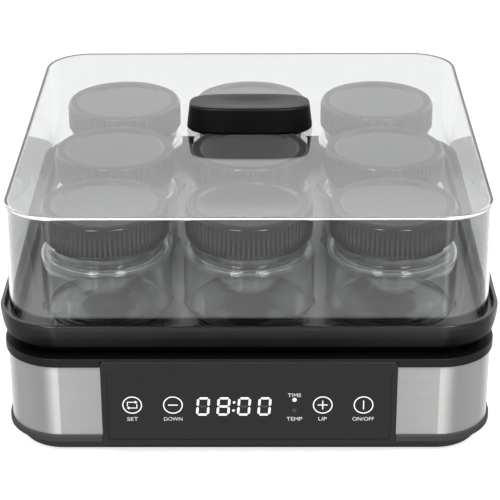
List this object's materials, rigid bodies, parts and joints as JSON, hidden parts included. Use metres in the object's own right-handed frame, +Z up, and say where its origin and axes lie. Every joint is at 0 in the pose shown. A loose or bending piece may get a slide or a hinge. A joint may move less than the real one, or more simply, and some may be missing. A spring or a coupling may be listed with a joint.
{
  "type": "yogurt maker",
  "caption": "Square yogurt maker: clear lift-off lid over glass jars with ribbed screw caps, standing in a heated tray on a steel-banded base with a touch panel.",
  "frame": {"origin": "on the table under the middle of the four feet", "axes": "+Z up, -Y towards the control panel, +X to the right seen from the front"},
  "size_m": [0.2638, 0.2638, 0.1555],
  "materials": {
    "black_plastic": "fine moulded texture",
    "handle_plastic": "satin moulded",
    "cap_plastic": "satin moulded with grip ribs",
    "clear_plastic": "clear polished",
    "jar_glass": "clear pressed glass",
    "liner_foam": "closed foam",
    "brushed_steel": "brushed along the band",
    "panel_film": "printed film",
    "rubber": "moulded",
    "circuit_board": "solder mask",
    "device_plastic": "moulded",
    "conductive_foam": "open foam",
    "lamp_plastic": "cast resin",
    "terminal_plastic": "moulded",
    "transformer": "laminated and varnished",
    "capacitor_can": "sleeved can",
    "silicone_wire": "extruded",
    "ribbon_vinyl": "extruded",
    "aluminium_plate": "rolled",
    "silicone_mat": "moulded",
    "glass_fibre": "needled felt",
    "zinc_sheet": "zinc plated",
    "sensor_metal": "drawn can",
    "zinc_screw": "zinc plated",
    "stainless_screw": "plain"
  },
  "bodies": {
    "base": {"base_housing": "black_plastic", "bottom_cover": "black_plastic", "jar_tray": "black_plastic", "panel_bezel": "black_plastic", "cord_plate": "black_plastic", "steel_band": "brushed_steel", "touch_film": "panel_film", "rubber_feet": "rubber", "cord_gland": "rubber", "control_board": "circuit_board", "power_board": "circuit_board", "display_module": "device_plastic", "touch_pads": "conductive_foam", "indicator_lamps": "lamp_plastic", "terminal_block": "terminal_plastic", "power_transformer": "transformer", "heater_relay": "device_plastic", "filter_capacitor": "capacitor_can", "heater_leads": "silicone_wire", "panel_ribbon": "ribbon_vinyl", "heater_plate": "aluminium_plate", "heater_mat": "silicone_mat", "insulation_pad": "glass_fibre", "heater_retainer": "zinc_sheet", "temperature_sensor": "sensor_metal", "thermal_fuse": "sensor_metal", "base_screws": "zinc_screw", "board_screws": "zinc_screw", "tray_screws": "zinc_screw", "retainer_screws": "zinc_screw"},
    "lid": {"lid_shell": "clear_plastic", "lid_handle": "handle_plastic", "handle_screws": "stainless_screw"},
    "jar_front_left_body": {"jar_front_left": "jar_glass"},
    "liner_front_left_body": {"liner_front_left": "liner_foam"},
    "cap_front_left_body": {"cap_front_left": "cap_plastic"},
    "jar_front_centre_body": {"jar_front_centre": "jar_glass"},
    "liner_front_centre_body": {"liner_front_centre": "liner_foam"},
    "cap_front_centre_body": {"cap_front_centre": "cap_plastic"},
    "jar_front_right_body": {"jar_front_right": "jar_glass"},
    "liner_front_right_body": {"liner_front_right": "liner_foam"},
    "cap_front_right_body": {"cap_front_right": "cap_plastic"},
    "jar_middle_left_body": {"jar_middle_left": "jar_glass"},
    "liner_middle_left_body": {"liner_middle_left": "liner_foam"},
    "cap_middle_left_body": {"cap_middle_left": "cap_plastic"},
    "jar_middle_centre_body": {"jar_middle_centre": "jar_glass"},
    "liner_middle_centre_body": {"liner_middle_centre": "liner_foam"},
    "cap_middle_centre_body": {"cap_middle_centre": "cap_plastic"},
    "jar_middle_right_body": {"jar_middle_right": "jar_glass"},
    "liner_middle_right_body": {"liner_middle_right": "liner_foam"},
    "cap_middle_right_body": {"cap_middle_right": "cap_plastic"},
    "jar_back_left_body": {"jar_back_left": "jar_glass"},
    "liner_back_left_body": {"liner_back_left": "liner_foam"},
    "cap_back_left_body": {"cap_back_left": "cap_plastic"},
    "jar_back_centre_body": {"jar_back_centre": "jar_glass"},
    "liner_back_centre_body": {"liner_back_centre": "liner_foam"},
    "cap_back_centre_body": {"cap_back_centre": "cap_plastic"},
    "jar_back_right_body": {"jar_back_right": "jar_glass"},
    "liner_back_right_body": {"liner_back_right": "liner_foam"},
    "cap_back_right_body": {"cap_back_right": "cap_plastic"}
  },
  "joints": [
    {"name": "lid_lift", "type": "slide", "parent": "base", "child": "lid", "axis": [0, 0, 1], "range_m": [0, 0.12]},
    {"name": "jar_front_left_lift", "type": "slide", "parent": "base", "child": "jar_front_left_body", "axis": [0, 0, 1], "range_m": [0, 0.006]},
    {"name": "cap_front_left_rise", "type": "slide", "parent": "jar_front_left_body", "child": "liner_front_left_body", "axis": [0, 0, 1], "range_m": [0, 0.003]},
    {"name": "cap_front_left_turn", "type": "hinge", "parent": "liner_front_left_body", "child": "cap_front_left_body", "pos_m": [-0.077, -0.077, 0.118], "axis": [0, 0, 1], "range_deg": [0, 360]},
    {"name": "jar_front_centre_lift", "type": "slide", "parent": "base", "child": "jar_front_centre_body", "axis": [0, 0, 1], "range_m": [0, 0.006]},
    {"name": "cap_front_centre_rise", "type": "slide", "parent": "jar_front_centre_body", "child": "liner_front_centre_body", "axis": [0, 0, 1], "range_m": [0, 0.003]},
    {"name": "cap_front_centre_turn", "type": "hinge", "parent": "liner_front_centre_body", "child": "cap_front_centre_body", "pos_m": [0, -0.077, 0.118], "axis": [0, 0, 1], "range_deg": [0, 360]},
    {"name": "jar_front_right_lift", "type": "slide", "parent": "base", "child": "jar_front_right_body", "axis": [0, 0, 1], "range_m": [0, 0.006]},
    {"name": "cap_front_right_rise", "type": "slide", "parent": "jar_front_right_body", "child": "liner_front_right_body", "axis": [0, 0, 1], "range_m": [0, 0.003]},
    {"name": "cap_front_right_turn", "type": "hinge", "parent": "liner_front_right_body", "child": "cap_front_right_body", "pos_m": [0.077, -0.077, 0.118], "axis": [0, 0, 1], "range_deg": [0, 360]},
    {"name": "jar_middle_left_lift", "type": "slide", "parent": "base", "child": "jar_middle_left_body", "axis": [0, 0, 1], "range_m": [0, 0.006]},
    {"name": "cap_middle_left_rise", "type": "slide", "parent": "jar_middle_left_body", "child": "liner_middle_left_body", "axis": [0, 0, 1], "range_m": [0, 0.003]},
    {"name": "cap_middle_left_turn", "type": "hinge", "parent": "liner_middle_left_body", "child": "cap_middle_left_body", "pos_m": [-0.077, 0, 0.118], "axis": [0, 0, 1], "range_deg": [0, 360]},
    {"name": "jar_middle_centre_lift", "type": "slide", "parent": "base", "child": "jar_middle_centre_body", "axis": [0, 0, 1], "range_m": [0, 0.006]},
    {"name": "cap_middle_centre_rise", "type": "slide", "parent": "jar_middle_centre_body", "child": "liner_middle_centre_body", "axis": [0, 0, 1], "range_m": [0, 0.003]},
    {"name": "cap_middle_centre_turn", "type": "hinge", "parent": "liner_middle_centre_body", "child": "cap_middle_centre_body", "pos_m": [0, 0, 0.118], "axis": [0, 0, 1], "range_deg": [0, 360]},
    {"name": "jar_middle_right_lift", "type": "slide", "parent": "base", "child": "jar_middle_right_body", "axis": [0, 0, 1], "range_m": [0, 0.006]},
    {"name": "cap_middle_right_rise", "type": "slide", "parent": "jar_middle_right_body", "child": "liner_middle_right_body", "axis": [0, 0, 1], "range_m": [0, 0.003]},
    {"name": "cap_middle_right_turn", "type": "hinge", "parent": "liner_middle_right_body", "child": "cap_middle_right_body", "pos_m": [0.077, 0, 0.118], "axis": [0, 0, 1], "range_deg": [0, 360]},
    {"name": "jar_back_left_lift", "type": "slide", "parent": "base", "child": "jar_back_left_body", "axis": [0, 0, 1], "range_m": [0, 0.006]},
    {"name": "cap_back_left_rise", "type": "slide", "parent": "jar_back_left_body", "child": "liner_back_left_body", "axis": [0, 0, 1], "range_m": [0, 0.003]},
    {"name": "cap_back_left_turn", "type": "hinge", "parent": "liner_back_left_body", "child": "cap_back_left_body", "pos_m": [-0.077, 0.077, 0.118], "axis": [0, 0, 1], "range_deg": [0, 360]},
    {"name": "jar_back_centre_lift", "type": "slide", "parent": "base", "child": "jar_back_centre_body", "axis": [0, 0, 1], "range_m": [0, 0.006]},
    {"name": "cap_back_centre_rise", "type": "slide", "parent": "jar_back_centre_body", "child": "liner_back_centre_body", "axis": [0, 0, 1], "range_m": [0, 0.003]},
    {"name": "cap_back_centre_turn", "type": "hinge", "parent": "liner_back_centre_body", "child": "cap_back_centre_body", "pos_m": [0, 0.077, 0.118], "axis": [0, 0, 1], "range_deg": [0, 360]},
    {"name": "jar_back_right_lift", "type": "slide", "parent": "base", "child": "jar_back_right_body", "axis": [0, 0, 1], "range_m": [0, 0.006]},
    {"name": "cap_back_right_rise", "type": "slide", "parent": "jar_back_right_body", "child": "liner_back_right_body", "axis": [0, 0, 1], "range_m": [0, 0.003]},
    {"name": "cap_back_right_turn", "type": "hinge", "parent": "liner_back_right_body", "child": "cap_back_right_body", "pos_m": [0.077, 0.077, 0.118], "axis": [0, 0, 1], "range_deg": [0, 360]}
  ],
  "couplings": [
    {"joint": "cap_front_left_rise", "follows": "cap_front_left_turn", "m_per_rad": 0.0004774},
    {"joint": "cap_front_centre_rise", "follows": "cap_front_centre_turn", "m_per_rad": 0.0004774},
    {"joint": "cap_front_right_rise", "follows": "cap_front_right_turn", "m_per_rad": 0.0004774},
    {"joint": "cap_middle_left_rise", "follows": "cap_middle_left_turn", "m_per_rad": 0.0004774},
    {"joint": "cap_middle_centre_rise", "follows": "cap_middle_centre_turn", "m_per_rad": 0.0004774},
    {"joint": "cap_middle_right_rise", "follows": "cap_middle_right_turn", "m_per_rad": 0.0004774},
    {"joint": "cap_back_left_rise", "follows": "cap_back_left_turn", "m_per_rad": 0.0004774},
    {"joint": "cap_back_centre_rise", "follows": "cap_back_centre_turn", "m_per_rad": 0.0004774},
    {"joint": "cap_back_right_rise", "follows": "cap_back_right_turn", "m_per_rad": 0.0004774}
  ]
}
